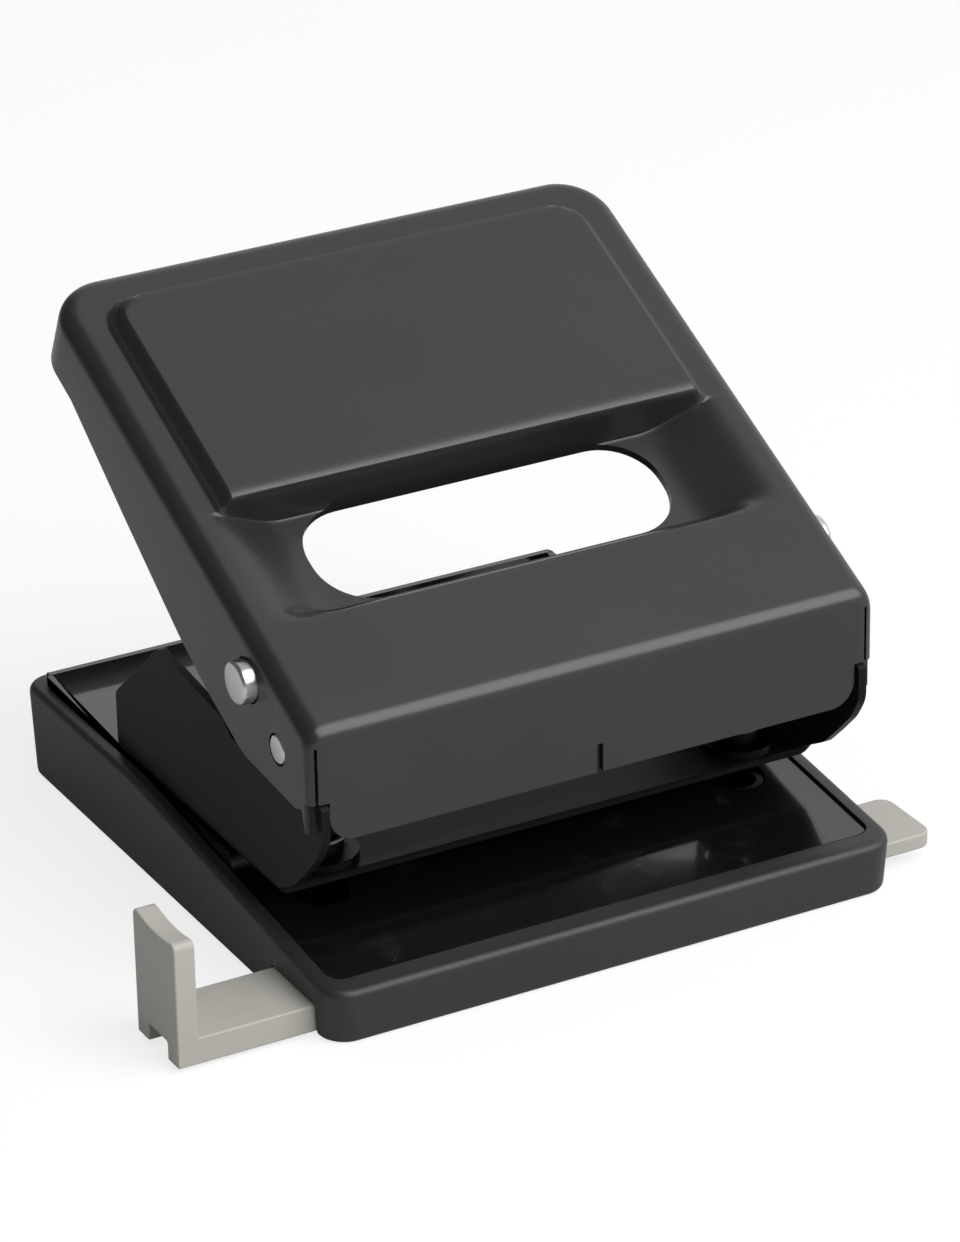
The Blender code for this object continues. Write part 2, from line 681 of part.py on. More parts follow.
def build_drive_rod(material):
    """Cross rod that the lever carries, which bears on both punch caps"""
    bm = pin_bm(ROD_RADIUS, LEVER_WIDTH / 2 + ROD_PROUD, ROD_CHAMFER, (0, ROD_Y, ROD_Z))
    return finish("drive_rod", bm, material, origin=(0, PIVOT_Y, PIVOT_Z), smooth=True)


def ring_clip(name, bore, radius, outer_x, side, centre, material):
    inner_x = outer_x - CLIP_THICKNESS
    profile = [
        (bore, side * inner_x), (radius, side * inner_x), (radius, side * outer_x), (bore, side * outer_x),
    ]
    item = finish(name, turned(profile, centre, "X"), material, origin=(0, PIVOT_Y, PIVOT_Z), smooth=True)
    return item


def build_shaft_clip(word, side, material):
    bore = SHAFT_RADIUS + SHAFT_FIT
    centre = (0, PIVOT_Y, PIVOT_Z)
    outer_x = CHEEK_INNER_X - SEAT_GAP
    return ring_clip(f"shaft_clip_{word}", bore, SHAFT_CLIP_RADIUS, outer_x, side, centre, material)


def build_rod_clip(word, side, material):
    bore = ROD_RADIUS + ROD_FIT
    outer_x = LEVER_WIDTH / 2 - LEVER_SHEET - SEAT_GAP
    return ring_clip(f"rod_clip_{word}", bore, ROD_CLIP_RADIUS, outer_x, side, (0, ROD_Y, ROD_Z), material)


# Lever of folded sheet steel: a sloped panel with a raised palm pad and a
# sunken finger opening, and walls that are folded down all round it.
# Its own coordinates are x, v up the slope from the front fold, and h out of
# the panel.
LEVER_NOSE = 10.8 * MM
LEVER_RISE = 6.9 * MM
LEVER_FOLD = 3.0 * MM
LEVER_REAR_CORNER = 9.5 * MM
LEVER_WALL = 21.8 * MM
LEVER_FRONT_WALL = 20.0 * MM
TAB_STEP_INSET = 3.7 * MM
TAB_STEP_HEIGHT = 7.3 * MM
TAB_CORNER = 4.0 * MM
FRONT_EDGE_INSET = 1.8 * MM
RELIEF_WIDTH = 0.45 * MM
RELIEF_START = 2.7 * MM
RELIEF_SETBACK = 0.7 * MM
RELIEF_DEPTH = 1.7 * MM
MARK_X = 0.3 * MM
MARK_WIDTH = 1.2 * MM
MARK_HEIGHT = 5.1 * MM

# Lower edge of a side wall from the rear to the front: a share of the lever's
# length up the slope and a share of the wall's full depth
WALL_SHARES = (
    (0.8445, 0.5505), (0.62, 0.757), (0.3954, 0.945), (0.2802, 0.9954),
    (0.1497, 1.0), (-0.0173, 0.711), (-0.0345, 0.633),
)
CROWN_SHARES = (0.845, 0.62, 0.40, 0.28, 0.15, 0.09, 0.06)

PAD_RAISE = 2.9 * MM
PAD_SIDE_MARGIN = 5.3 * MM
PAD_REAR_MARGIN = 8.6 * MM
PAD_FRONT_CORNER = 2.6 * MM
PAD_REAR_CORNER = 6.5 * MM
PAD_FOLD = 1.8 * MM

# Sunken ends and rolled front edge of the finger opening
DISH_DEPTH = 5.1 * MM
DISH_SIDE_MARGIN = 4.9 * MM
DISH_END_RUN = 14.0 * MM
DISH_FRONT = 22.0 * MM
DISH_LENGTH = 26.3 * MM
DISH_ROLL = 4.8 * MM
DISH_CORNER = 3.0 * MM
DISH_DROP_SHARES = (0.0, 0.2, 0.57, 1.0)
DISH_ROLL_SHARES = (0.0, 0.54, 0.875, 1.0)
OPENING_END_INSET = 0.8 * MM
OPENING_REAR_SETBACK = 0.4 * MM
OPENING_CORNER_SHARE = 0.45

LEVER_FRONT_Y = PIVOT_Y - LEVER_NOSE
LEVER_FOLD_Z = PIVOT_Z + LEVER_RISE
LEVER_FRONT_LOW_Z = LEVER_FOLD_Z - LEVER_FRONT_WALL
LEVER_STEP_Z = LEVER_FRONT_LOW_Z + TAB_STEP_HEIGHT
LEVER_REAR_WALL = LEVER_WALL * WALL_SHARES[0][1]
WALL_POINTS = [(LEVER_LENGTH * along, -LEVER_WALL * down) for along, down in WALL_SHARES]
RELIEF_TOP_Z = LEVER_FOLD_Z - RELIEF_START
MARK_TOP_Z = LEVER_FRONT_LOW_Z + MARK_HEIGHT
TAB_HALF_WIDTH = LEVER_WIDTH / 2 - TAB_STEP_INSET
FRONT_HALF_WIDTH = LEVER_WIDTH / 2 - FRONT_EDGE_INSET
PAD_HALF_WIDTH = LEVER_WIDTH / 2 - PAD_SIDE_MARGIN
PAD_FRONT = DISH_FRONT + DISH_LENGTH
PAD_REAR = LEVER_LENGTH - PAD_REAR_MARGIN
DISH_TOP_HALF_WIDTH = LEVER_WIDTH / 2 - DISH_SIDE_MARGIN
DISH_LOW_HALF_WIDTH = DISH_TOP_HALF_WIDTH - DISH_END_RUN
OPENING_HALF_WIDTH = DISH_LOW_HALF_WIDTH - OPENING_END_INSET

LEVER_DOWN = Vector((0, math.sin(LEVER_TILT), -math.cos(LEVER_TILT)))
LEVER_UP_SLOPE = Vector((0, math.cos(LEVER_TILT), math.sin(LEVER_TILT)))
LEVER_CORNER = Vector((0, LEVER_FRONT_Y, LEVER_FOLD_Z))


def on_lever(x, v, h):
    return LEVER_CORNER + Vector((x, 0, 0)) + LEVER_UP_SLOPE * v - LEVER_DOWN * h


def lever_half(offset, inset):
    """Right half of the lever's plan as (x, v) from the rear to the front"""
    total = offset + inset
    half_width = LEVER_WIDTH / 2 - total
    corner = LEVER_REAR_CORNER - total
    half = arc((half_width - corner, LEVER_LENGTH - total - corner), corner, 90, 0, 6)
    half += [(half_width, LEVER_LENGTH * share) for share in CROWN_SHARES]
    return half


def lever_ring(bm, offset, inset, drop):
    """Ring on the lever's skin: offset inwards, then round the top fold"""
    places = [on_lever(x, v, -offset - drop) for x, v in lever_half(offset, inset)]
    half_width = LEVER_WIDTH / 2 - offset - inset
    fold = offset * (1 - math.sin(LEVER_TILT)) / math.cos(LEVER_TILT)
    front = on_lever(half_width, fold + inset, -offset)
    places.append(front - Vector((0, 0, drop)))
    return mirrored_verts(bm, places)


def lever_edge_ring(bm, offset):
    """Ring along the walls' lower edge"""
    half = lever_half(offset, 0)
    count = len(WALL_POINTS)
    places = [on_lever(x, v, -LEVER_REAR_WALL) for x, v in half[:-count]]
    half_width = LEVER_WIDTH / 2 - offset
    places += [on_lever(half_width, v, h) for v, h in WALL_POINTS]
    places.append(Vector((half_width, LEVER_FRONT_Y + offset, LEVER_FRONT_LOW_Z)))
    return mirrored_verts(bm, places)


def mirrored_verts(bm, places):
    right = [bm.verts.new(place) for place in places]
    left = [bm.verts.new((-place.x, place.y, place.z)) for place in reversed(places)]
    return right + left


def build_lever(material):
    bm = bmesh.new()
    sheet = LEVER_SHEET
    fold = LEVER_FOLD
    inner = fold - sheet
    mid = ROUND_MID_SHARE
    loft(bm, [
        lever_ring(bm, sheet, inner, 0),
        lever_ring(bm, sheet, inner * mid, inner * mid),
        lever_ring(bm, sheet, 0, inner),
        lever_edge_ring(bm, sheet),
        lever_edge_ring(bm, 0),
        lever_ring(bm, 0, 0, fold),
        lever_ring(bm, 0, fold * mid, fold * mid),
        lever_ring(bm, 0, fold, 0),
    ])
    lever = finish("handle", bm, material, origin=(0, PIVOT_Y, PIVOT_Z))
    combine(lever, pad_tool("pad_skin", 0, -LEVER_SHEET / 2), "UNION")
    combine(lever, dish_tool("dish_skin", LEVER_SHEET), "UNION")
    combine(lever, pad_tool("pad_hollow", LEVER_SHEET, -2 * OVERRUN), "DIFFERENCE")
    combine(lever, dish_tool("dish_hollow", 0), "DIFFERENCE")
    for tool in lever_cutters():
        combine(lever, tool, "DIFFERENCE")
    return lever


def lever_loft(name, levels):
    """Solid between plan outlines on the lever, each given as (h, outline)"""
    bm = bmesh.new()
    loft(bm, [[bm.verts.new(on_lever(x, v, h)) for x, v in outline] for h, outline in levels])
    return shape_tool(name, bm)


def pad_tool(name, offset, foot):
    """The raised palm pad, or the hollow under it when offset by the sheet"""
    fold = PAD_FOLD - offset / 2
    top = PAD_RAISE - offset
    levels = []
    for inset, drop in ((0, top - foot), (0, fold), (fold * ROUND_MID_SHARE, fold * ROUND_MID_SHARE), (fold, 0)):
        total = offset + inset
        outline = plan(
            PAD_HALF_WIDTH - total, PAD_FRONT + total, PAD_REAR - total,
            max(PAD_FRONT_CORNER - total, PAD_FRONT_CORNER * ROUND_MID_SHARE), PAD_REAR_CORNER - total,
        )
        levels.append((top - drop, outline))
    return lever_loft(name, levels)


def dish_tool(name, growth):
    """The sunken space at the finger opening, or its skin when it is grown"""
    levels = []
    rear = PAD_FRONT + growth * 1.2
    start = -growth / 2 if growth else OVERRUN
    outline = plan(DISH_TOP_HALF_WIDTH, DISH_FRONT - growth, rear, DISH_CORNER, DISH_CORNER)
    levels.append((start, outline))
    for drop_share, roll_share in zip(DISH_DROP_SHARES, DISH_ROLL_SHARES):
        half = DISH_TOP_HALF_WIDTH + (DISH_LOW_HALF_WIDTH - DISH_TOP_HALF_WIDTH) * drop_share
        front = DISH_FRONT + DISH_ROLL * roll_share - growth
        levels.append((-DISH_DEPTH * drop_share - growth, plan(half, front, rear, DISH_CORNER, DISH_CORNER)))
    return lever_loft(name, levels)


def opening_tool():
    front = DISH_FRONT + DISH_ROLL
    rear = PAD_FRONT - OPENING_REAR_SETBACK
    corner = (rear - front) * OPENING_CORNER_SHARE
    outline = plan(OPENING_HALF_WIDTH, front, rear, corner, corner)
    return lever_loft("finger_opening", [(-2 * DISH_DEPTH, outline), (-DISH_DEPTH / 2, outline)])


def tab_outline():
    """Front view of what is cut away beside the front wall's lower tab"""
    half = TAB_HALF_WIDTH
    low = LEVER_FRONT_LOW_Z
    reach = LEVER_WIDTH / 2 + OVERRUN
    return [
        (reach, LEVER_STEP_Z), (half, LEVER_STEP_Z),
        *arc((half - TAB_CORNER, low + TAB_CORNER), TAB_CORNER, 0, -90),
        (half - TAB_CORNER, low - OVERRUN), (reach, low - OVERRUN),
    ]


def lever_cutters():
    reach = LEVER_WIDTH / 2 + OVERRUN
    front = LEVER_FRONT_Y - OVERRUN
    tab_back = LEVER_FRONT_Y + LEVER_SHEET + SEAT_GAP
    tools = [opening_tool()]
    tools.append(rod_tool("rod_holes", ROD_RADIUS + ROD_FIT, -reach, reach, (0, ROD_Y, ROD_Z), "X"))
    tools.append(rod_tool("shaft_holes", SHAFT_RADIUS + SHAFT_FIT, -reach, reach, (0, PIVOT_Y, PIVOT_Z), "X"))
    for side in (-1, 1):
        bm = bmesh.new()
        prism(bm, [(side * x, z) for x, z in tab_outline()], "Y", front, tab_back)
        tools.append(shape_tool(f"tab_step_{side}", bm))
        low, high = sorted((side * FRONT_HALF_WIDTH, side * reach))
        setback = LEVER_FRONT_Y + RELIEF_SETBACK
        tools.append(box_tool(f"wall_setback_{side}", (low, front, 0), (high, setback, RELIEF_TOP_Z)))
        slit = side * (FRONT_HALF_WIDTH + RELIEF_WIDTH)
        low, high = sorted((side * FRONT_HALF_WIDTH, slit))
        depth = LEVER_FRONT_Y + RELIEF_DEPTH
        tools.append(box_tool(f"corner_slit_{side}", (low, front, 0), (high, depth, RELIEF_TOP_Z)))
    mark = (MARK_X - MARK_WIDTH / 2, MARK_X + MARK_WIDTH / 2)
    tools.append(box_tool("centre_mark", (mark[0], front, 0), (mark[1], tab_back, MARK_TOP_Z)))
    return tools


def build_all():
    build_base_cover(paint("tray_plastic", (0.045, 0.046, 0.048), 0.55, 0.0))
    build_base_plate(paint("plate_enamel", (0.006, 0.006, 0.007), 0.12, 0.3))
    build_punch_frame(paint("frame_enamel", (0.012, 0.012, 0.014), 0.3, 0.3))
    build_lever(paint("lever_paint", (0.052, 0.053, 0.055), 0.38, 0.2))
    build_drive_rod(paint("rod_zinc", (0.6, 0.6, 0.58), 0.25, 1.0))
    build_pivot_shaft(paint("shaft_zinc", (0.58, 0.58, 0.57), 0.25, 1.0))
    build_paper_guide(paint("guide_plastic", (0.46, 0.44, 0.39), 0.5, 0.0))
    for number, place in enumerate(rivet_places(), start=1):
        build_rivet(number, place, paint(f"rivet_steel_{number}", (0.05, 0.05, 0.055), 0.35, 0.6))
    for word, side in (("left", -1), ("right", 1)):
        build_die(word, side, paint(f"die_steel_{word}", (0.6, 0.6, 0.58), 0.3, 1.0))
        build_bush(word, side, paint(f"bush_steel_{word}", (0.45, 0.45, 0.46), 0.35, 1.0))
        build_punch(word, side, paint(f"punch_steel_{word}", (0.55, 0.55, 0.56), 0.2, 1.0))
        build_cap(word, side, paint(f"cap_steel_{word}", (0.4, 0.4, 0.42), 0.35, 1.0))
        build_spring(word, side, paint(f"spring_steel_{word}", (0.5, 0.5, 0.5), 0.3, 1.0))
        build_shaft_clip(word, side, paint(f"shaft_clip_steel_{word}", (0.4, 0.4, 0.42), 0.4, 1.0))
        build_rod_clip(word, side, paint(f"rod_clip_steel_{word}", (0.38, 0.38, 0.4), 0.4, 1.0))


clear_scene()
TOOL_PAINT = paint("cutting_tool", (0.8, 0.2, 0.1), 0.5, 0.0)
build_all()
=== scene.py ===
# Two hole desk punch dressed for its photograph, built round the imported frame.
# Sizes are in metres, in the same axes as the frame: X right, Y back, Z up.

import math

import bmesh
import bpy
from mathutils import Matrix, Vector


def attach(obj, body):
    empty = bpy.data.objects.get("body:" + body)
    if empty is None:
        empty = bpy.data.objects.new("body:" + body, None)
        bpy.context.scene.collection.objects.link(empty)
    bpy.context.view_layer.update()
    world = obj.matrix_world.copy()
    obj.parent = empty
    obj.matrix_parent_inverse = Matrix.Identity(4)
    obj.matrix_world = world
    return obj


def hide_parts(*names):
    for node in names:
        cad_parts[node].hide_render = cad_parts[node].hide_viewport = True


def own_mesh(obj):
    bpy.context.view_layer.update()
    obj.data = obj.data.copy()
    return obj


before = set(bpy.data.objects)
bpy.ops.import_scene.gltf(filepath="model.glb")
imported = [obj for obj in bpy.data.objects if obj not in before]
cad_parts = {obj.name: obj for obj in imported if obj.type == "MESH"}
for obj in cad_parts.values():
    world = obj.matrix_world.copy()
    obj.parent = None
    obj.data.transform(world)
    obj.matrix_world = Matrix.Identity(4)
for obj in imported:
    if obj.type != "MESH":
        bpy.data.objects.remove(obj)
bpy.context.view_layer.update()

# Chip tray: one moulding in dark matte plastic. Its rim frames the steel
# plate, its front falls away under the paper, and the guide's strip passes
# through a slot low in both side walls.
MM = 0.001
TRAY_HALF_WIDTH = 54.0 * MM
TRAY_FRONT = -58.99 * MM
TRAY_REAR = 58.99 * MM
RIM_BEND = 13.0 * MM
RIM_TOP = 17.3 * MM
RIM_SLOPE = 0.1056


class Paint:
    """One shader socket; arithmetic on it adds Math nodes to its tree"""

    def __init__(self, tree, socket):
        self.tree = tree
        self.socket = socket

    def node(self, kind, settings=None, values=None, output=0):
        made = self.tree.nodes.new(kind)
        for key, value in (settings or {}).items():
            if key == "stops":
                first, last = made.color_ramp.elements
                first.position, first.color = value[0]
                last.position, last.color = value[1]
            else:
                setattr(made, key, value)
        for key, value in (values or {}).items():
            if isinstance(value, Paint):
                self.tree.links.new(value.socket, made.inputs[key])
            else:
                made.inputs[key].default_value = value
        return Paint(self.tree, made.outputs[output])

    def maths(self, operation, other, clamp=False):
        settings = {"operation": operation, "use_clamp": clamp}
        return self.node("ShaderNodeMath", settings, {0: self, 1: other})

    def __add__(self, other):
        return self.maths("ADD", other)

    __radd__ = __add__

    def __mul__(self, other):
        return self.maths("MULTIPLY", other)

    __rmul__ = __mul__

    def __sub__(self, other):
        return self.maths("SUBTRACT", other)

    def __rsub__(self, other):
        return self.maths("MULTIPLY", -1.0).maths("ADD", other)

    def noise(self, scale, detail=2.0, roughness=0.5):
        values = {"Vector": self, "Scale": scale, "Detail": detail, "Roughness": roughness}
        return self.node("ShaderNodeTexNoise", {}, values)

    def stretched(self, x, y, z):
        return self.node("ShaderNodeMapping", {}, {"Vector": self, "Scale": (x, y, z)})

    def between(self, low, high):
        values = {"Value": self, "From Min": low, "From Max": high}
        return self.node("ShaderNodeMapRange", {"interpolation_type": "SMOOTHSTEP"}, values)

    def blend(self, first, second):
        """A colour between two colours, with this socket as the factor"""
        settings = {"data_type": "RGBA"}
        values = {0: self, 6: first, 7: second}
        return self.node("ShaderNodeMix", settings, values, output=2)


def finish_coat(name, metallic=0.0, coat=0.0, coat_roughness=0.1, specular=0.5):
    """New material; gives the piece's own coordinates and a setter for its sockets"""
    material = bpy.data.materials.new(name)
    material.use_nodes = True
    tree = material.node_tree
    shader = tree.nodes["Principled BSDF"]
    shader.inputs["Metallic"].default_value = metallic
    shader.inputs["Coat Weight"].default_value = coat
    shader.inputs["Coat Roughness"].default_value = coat_roughness
    shader.inputs["Specular IOR Level"].default_value = specular
    place = Paint(tree, tree.nodes.new("ShaderNodeTexCoord").outputs["Object"])

    def apply(colour, roughness, relief=None, depth=0.0001):
        for key, value in (("Base Color", colour), ("Roughness", roughness)):
            if isinstance(value, Paint):
                tree.links.new(value.socket, shader.inputs[key])
            else:
                shader.inputs[key].default_value = value
        if relief is not None:
            values = {"Height": relief, "Strength": 1.0, "Distance": depth}
            bump = place.node("ShaderNodeBump", {}, values)
            tree.links.new(bump.socket, shader.inputs["Normal"])
    return material, place, apply


def grey(red, green=None, blue=None):
    return (red, red if green is None else green, red if blue is None else blue, 1.0)


def fresh_verts(grown):
    """The verts that an extrusion has added"""
    return [item for item in grown["geom"] if isinstance(item, bmesh.types.BMVert)]


def round_edges(bm, edges, radius, steps, clamp=False):
    bmesh.ops.bevel(bm, geom=edges, offset=radius, segments=steps, profile=0.5, affect="EDGES",
                    material=-1, clamp_overlap=clamp)


def cylinder(bm, radius, length, matrix, segments=48):
    bmesh.ops.create_cone(bm, cap_ends=True, segments=segments, radius1=radius, radius2=radius,
                          depth=length, matrix=matrix)


def prism(outline, start, end, axis="X"):
    """Bmesh of an outline extruded along X, or along Y when so asked"""
    made = bmesh.new()
    low, high = sorted((start, end))
    points = [(low, a, b) if axis == "X" else (a, low, b) for a, b in outline]
    face = made.faces.new([made.verts.new(Vector(point) * MM) for point in points])
    grown = bmesh.ops.extrude_face_region(made, geom=[face])
    reach = Vector((high - low, 0, 0) if axis == "X" else (0, high - low, 0)) * MM
    bmesh.ops.translate(made, verts=fresh_verts(grown), vec=reach)
    return made


def tray_plastic():
    material, place, apply = finish_coat("tray_plastic", specular=0.5)
    grain = place.noise(2600.0, 3.0, 0.6)
    cloud = place.noise(22.0, 3.0)
    rub = place.stretched(60.0, 700.0, 700.0).noise(1.0, 3.0).between(0.6, 0.8)
    shade = (cloud * 0.35 + grain * 0.35 + rub * 0.25).between(0.15, 0.85)
    colour = shade.blend(grey(0.020, 0.020, 0.021), grey(0.040, 0.040, 0.042))
    apply(colour, 0.36 + 0.16 * grain - 0.05 * rub, grain, 0.00005)
    return material


def piece(name, bm, material, body, *nodes, smooth=35, bevel=0.0, segments=2):
    """Makes the finished object, its soft edges and its place in the frame"""
    mesh = bpy.data.meshes.new(name)
    bm.to_mesh(mesh)
    bm.free()
    made = bpy.data.objects.new(name, mesh)
    bpy.context.scene.collection.objects.link(made)
    mesh.materials.clear()
    mesh.materials.append(material)
    mesh.shade_smooth()
    mesh.set_sharp_from_angle(angle=math.radians(smooth))
    if bevel:
        edge = made.modifiers.new("soft_edges", "BEVEL")
        edge.width = bevel
        edge.segments = segments
        edge.limit_method = "ANGLE"
        edge.angle_limit = math.radians(38)
        edge.miter_outer = "MITER_ARC"
        edge.harden_normals = True
    if nodes:
        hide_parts(*nodes)
    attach(made, body)
    return made


def carved(bm, cuts, operation="DIFFERENCE", merge_flats=True):
    """The bmesh after one boolean with the cutting bmesh"""
    objects = []
    for index, source in enumerate((bm, cuts)):
        mesh = bpy.data.meshes.new(f"carving_{index}")
        bmesh.ops.recalc_face_normals(source, faces=source.faces)
        source.to_mesh(mesh)
        source.free()
        made = bpy.data.objects.new(f"carving_{index}", mesh)
        bpy.context.scene.collection.objects.link(made)
        objects.append(made)
    cut = objects[0].modifiers.new("cut", "BOOLEAN")
    cut.operation = operation
    cut.solver = "MANIFOLD"
    cut.object = objects[1]
    bpy.context.view_layer.update()
    result = bmesh.new()
    result.from_object(objects[0], bpy.context.evaluated_depsgraph_get())
    for made in objects:
        mesh = made.data
        bpy.data.objects.remove(made)
        bpy.data.meshes.remove(mesh)
    bmesh.ops.remove_doubles(result, verts=result.verts, dist=0.004 * MM)
    if merge_flats:
        bmesh.ops.dissolve_limit(result, angle_limit=math.radians(0.2), verts=result.verts,
                                 edges=result.edges)
    return result


def block(bm, low, high, corner=0.0, steps=6):
    """Box between two corners, its upright edges rounded"""
    size = Vector(high) - Vector(low)
    matrix = Matrix.Translation((Vector(high) + Vector(low)) / 2) @ Matrix.Diagonal((*size, 1.0))
    made = bmesh.ops.create_cube(bm, size=1.0, matrix=matrix)
    fresh = set(made["verts"])
    upright = [edge for edge in bm.edges if edge.verts[0] in fresh
               and abs(edge.verts[0].co.z - edge.verts[1].co.z) > size.z / 2]
    if corner:
        round_edges(bm, upright, corner, steps)
    return bm


def rim_line(y):
    """Height of the tray's rim, with its bend rounded over 8 mm"""
    fall = (RIM_BEND - y) / (4 * MM)
    soft = 4 * MM * (0 if fall < -1 else (fall if fall > 1 else (fall + 1) ** 2 / 4))
    return RIM_TOP - RIM_SLOPE * soft


def sliced(bm, places, normal=(0, 1, 0)):
    for place in places:
        geometry = bm.verts[:] + bm.edges[:] + bm.faces[:]
        bmesh.ops.bisect_plane(bm, geom=geometry, plane_co=Vector(normal) * place, plane_no=normal)
    return bm


BEND_SLICES = [RIM_BEND + step * MM for step in (-4, -3, -2, -1, 0, 1, 2, 3, 4)]

bm = block(bmesh.new(), (-TRAY_HALF_WIDTH, TRAY_FRONT, 0), (TRAY_HALF_WIDTH, TRAY_REAR, RIM_TOP), 5.0 * MM, 8)
sliced(bm, BEND_SLICES)
for vert in bm.verts:
    if vert.co.z > RIM_TOP / 2:
        vert.co.z = rim_line(vert.co.y)
    else:
        vert.co.x *= 1 - 0.5 * MM / TRAY_HALF_WIDTH
        vert.co.y *= 1 - 0.5 * MM / TRAY_REAR
top_faces = [face for face in bm.faces if face.normal.z > 0.9]
foot_faces = [face for face in bm.faces if face.normal.z < -0.9]
for faces, radius, steps in ((top_faces, 1.3 * MM, 5), (foot_faces, 1.0 * MM, 4)):
    turned = [edge for face in faces for edge in face.edges if abs(edge.calc_face_angle(0)) > 1.0]
    round_edges(bm, list(dict.fromkeys(turned)), radius, steps)
pocket = block(bmesh.new(), (-51.3 * MM, -54.9 * MM, 4.0 * MM), (51.3 * MM, 54.3 * MM, 30 * MM),
               2.7 * MM, 5)
sliced(pocket, BEND_SLICES)
for vert in pocket.verts:
    if vert.co.z < 10 * MM:
        vert.co.z = rim_line(vert.co.y) - 2.9 * MM
tray = carved(bm, pocket)
cavity = block(bmesh.new(), (-50.1 * MM, -53.7 * MM, 1.6 * MM), (50.1 * MM, 53.1 * MM, 30 * MM),
               2.7 * MM, 5)
rail = block(bmesh.new(), (-60 * MM, -53.7 * MM, 1.0 * MM), (60 * MM, -35.7 * MM, 2.5 * MM))
cavity = carved(cavity, rail)
tray = carved(tray, cavity)
for side in (-1, 1):
    bar = block(bmesh.new(), ((side * 25 - 3) * MM, -54.0 * MM, 2.0 * MM),
                ((side * 25 + 3) * MM, -35.7 * MM, 7.2 * MM))
    tray = carved(tray, bar, "UNION")
slots = block(bmesh.new(), (-60 * MM, -53.3 * MM, 2.5 * MM), (60 * MM, -37.7 * MM, 5.9 * MM))
tray = carved(tray, slots)
for low, high in ((-53.3, -48.7), (-42.3, -37.7)):
    lip = block(bmesh.new(), (-60 * MM, low * MM, -3 * MM), (-12.7 * MM, high * MM, 2.8 * MM))
    tray = carved(tray, lip)
TRAY_PLASTIC = tray_plastic()
tray_piece = piece("chip_tray", tray, TRAY_PLASTIC, "tray", "base_cover", bevel=0.25 * MM)


# Plate pressed from one steel sheet in gloss black: a level platform under
# the frame, a step that the sheets stop against, and a sloped paper table.
PLATE_HALF_WIDTH = 51.0 * MM
PLATE_FRONT = -54.0 * MM
PLATE_REAR = 54.0 * MM
PLATFORM = 16.5 * MM
PAPER_STOP = -17.5 * MM
HOLE_OFFSET = 40 * MM
HOLE_LINE = -29.5 * MM


def plate_line(y):
    """Height of the plate's upper side, its step rounded above and below"""
    table = 17.3 * MM - RIM_SLOPE * (RIM_BEND - y) - 0.6 * MM
    share = min(max((y - PAPER_STOP + 1.5 * MM) / (1.6 * MM), 0), 1)
    rise = share * share * (3 - 2 * share)
    return table * (1 - rise) + PLATFORM * rise


def plate_enamel():
    material, place, apply = finish_coat("plate_enamel", coat=0.6, coat_roughness=0.06)
    smear = place.stretched(14.0, 45.0, 30.0).noise(1.0, 4.0, 0.6)
    speck = place.noise(900.0, 1.0).between(0.74, 0.78)
    dust = place.noise(60.0, 4.0, 0.7).between(0.55, 0.8)
    peel = place.noise(420.0, 1.0)
    colour = (speck * dust * 0.8 + dust * 0.05).blend(grey(0.006, 0.006, 0.007), grey(0.35, 0.34, 0.32))
    apply(colour, 0.10 + 0.10 * smear + 0.3 * speck * dust, peel, 0.00001)
    return material


bm = bmesh.new()
stations = [PLATE_FRONT + 1.2 * MM, *[PAPER_STOP + 0.2 * step * MM for step in range(-8, 2)], 0, PLATE_REAR]
first = [bm.verts.new((-PLATE_HALF_WIDTH, y, plate_line(y))) for y in (PLATE_FRONT, *stations)]
spine = [bm.edges.new(pair) for pair in zip(first, first[1:])]
grown = bmesh.ops.extrude_edge_only(bm, edges=spine)
bmesh.ops.translate(bm, verts=fresh_verts(grown), vec=(2 * PLATE_HALF_WIDTH, 0, 0))
border = [edge for edge in bm.edges if edge.is_boundary]
grown = bmesh.ops.extrude_edge_only(bm, edges=border)
for vert in fresh_verts(grown):
    vert.co.z = 17.3 * MM - RIM_SLOPE * (RIM_BEND - vert.co.y) - 2.6 * MM
bmesh.ops.recalc_face_normals(bm, faces=bm.faces)
corners = [edge for edge in bm.edges if abs(edge.verts[0].co.z - edge.verts[1].co.z) > 1.9 * MM
           and abs(abs(edge.verts[0].co.x) - PLATE_HALF_WIDTH) < 0.1 * MM
           and min(abs(edge.verts[0].co.y - PLATE_FRONT), abs(edge.verts[0].co.y - PLATE_REAR)) < 0.1 * MM
           and abs(edge.verts[0].co.y - edge.verts[1].co.y) < 0.1 * MM]
round_edges(bm, corners, 2.4 * MM, 5)
turns = [edge for edge in bm.edges if len(edge.link_faces) == 2 and edge.calc_face_angle(0) > 0.9
         and any(face.normal.z > 0.9 for face in edge.link_faces)]
round_edges(bm, turns, 0.9 * MM, 4)
if sum(face.normal.z for face in bm.faces) < 0:
    bmesh.ops.reverse_faces(bm, faces=bm.faces)
bmesh.ops.solidify(bm, geom=bm.faces[:], thickness=1.2 * MM)
holes = bmesh.new()
for side in (-1, 1):
    cylinder(holes, 4.8 * MM, 20 * MM, Matrix.Translation((side * HOLE_OFFSET, HOLE_LINE, 10 * MM)))
plate = carved(bm, holes)
PLATE_ENAMEL = plate_enamel()
plate_piece = piece("paper_plate", plate, PLATE_ENAMEL, "frame", "base_plate", bevel=0.15 * MM)


